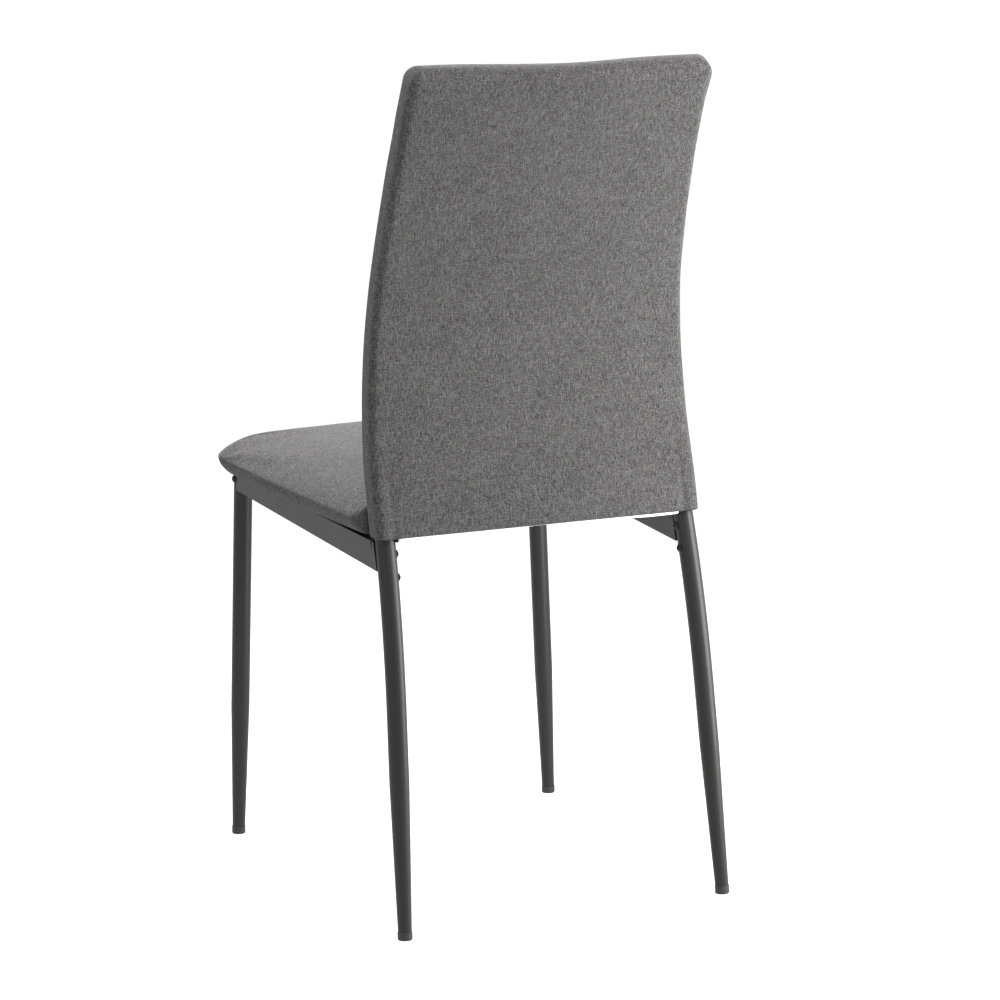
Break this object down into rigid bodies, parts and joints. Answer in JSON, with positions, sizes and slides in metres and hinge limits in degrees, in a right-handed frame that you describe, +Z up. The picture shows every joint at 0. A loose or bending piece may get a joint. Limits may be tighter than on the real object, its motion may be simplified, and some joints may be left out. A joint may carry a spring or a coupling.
{
  "type": "dining chair",
  "caption": "Upholstered dining chair with a tall curved back, a crowned padded seat and a black steel tube frame with tapered raked legs.",
  "frame": {"origin": "on the floor, under the middle of the chair's bounding box", "axes": "+Z up, +X the sitter's left, the chair faces -Y"},
  "size_m": [0.435, 0.5342, 0.92],
  "materials": {
    "powder_coat": "charcoal black powder coat, fine satin texture",
    "black_bolts": "black oxide, satin",
    "zinc": "zinc plated",
    "plastic": "moulded black, matte",
    "fabric": "mid grey plain weave with slubs in the yarn, matte",
    "foam": "open cell upholstery foam, hidden under the fabric",
    "pale_lining": "pale non-woven lining",
    "dark_lining": "dark non-woven dust lining",
    "plywood": "raw plywood, hidden"
  },
  "bodies": {
    "root": {"rear_leg_left": "powder_coat", "rear_leg_right": "powder_coat", "front_leg_left": "powder_coat", "front_leg_right": "powder_coat", "rear_glide_left": "plastic", "rear_glide_right": "plastic", "front_glide_left": "plastic", "front_glide_right": "plastic", "front_leg_cap_left": "plastic", "front_leg_cap_right": "plastic", "side_rail_left": "powder_coat", "side_rail_right": "powder_coat", "rail_saddle_left": "powder_coat", "rail_saddle_right": "powder_coat", "front_rail": "powder_coat", "corner_plate_left": "powder_coat", "corner_plate_right": "powder_coat", "corner_nuts": "zinc", "front_leg_bolts": "black_bolts", "rear_leg_bolts": "black_bolts", "upright_nuts": "zinc", "back_upright_left": "powder_coat", "back_upright_right": "powder_coat", "back_top_tube": "powder_coat", "back_lower_tube": "powder_coat", "back_panel": "plywood", "panel_tabs": "zinc", "panel_rivets": "zinc", "back_foam_front": "foam", "back_foam_rear": "foam", "back_cover": "fabric", "back_lining": "pale_lining", "seat_board": "plywood", "seat_tee_nuts": "zinc", "seat_brackets": "powder_coat", "seat_screws": "black_bolts", "seat_foam": "foam", "seat_cover": "fabric", "seat_lining": "dark_lining", "seat_staples": "zinc"}
  },
  "joints": []
}
